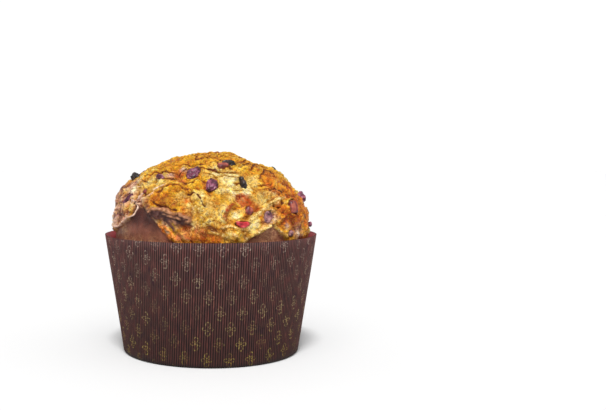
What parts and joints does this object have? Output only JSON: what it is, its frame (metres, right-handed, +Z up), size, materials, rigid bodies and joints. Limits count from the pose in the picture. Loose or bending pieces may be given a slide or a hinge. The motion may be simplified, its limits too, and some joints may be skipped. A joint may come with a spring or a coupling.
{
  "type": "panettone",
  "caption": "Tall domed sweet bread with raisins and candied peel in its torn golden crust, standing in its flared fluted paper baking case.",
  "frame": {"origin": "centre of the paper case's flat base, on the surface that it stands on", "axes": "+Z up, -Y towards the viewer of the shown front, +X to the right of that front"},
  "size_m": [0.205, 0.205, 0.1931],
  "materials": {
    "case_paper": "matte brown fluted baking paper with a small gold ornament",
    "crust": "satin baked crust, golden where torn, smooth brown skin at the sides",
    "raisin": "glossy wrinkled dried fruit",
    "candied_peel": "glossy syrup-soaked peel"
  },
  "bodies": {
    "root": {"paper_case": "case_paper", "bread": "crust", "raisin_01": "raisin", "raisin_02": "raisin", "raisin_03": "raisin", "raisin_04": "raisin", "raisin_05": "raisin", "raisin_06": "raisin", "raisin_07": "raisin", "raisin_08": "raisin", "raisin_09": "raisin", "raisin_10": "raisin", "raisin_11": "raisin", "raisin_12": "raisin", "raisin_13": "raisin", "raisin_14": "raisin", "raisin_15": "raisin", "raisin_16": "raisin", "raisin_17": "raisin", "raisin_18": "raisin", "peel_01": "candied_peel", "peel_02": "candied_peel", "peel_03": "candied_peel", "peel_04": "candied_peel", "peel_05": "candied_peel", "peel_06": "candied_peel", "peel_07": "candied_peel", "peel_08": "candied_peel", "peel_09": "candied_peel"}
  },
  "joints": []
}
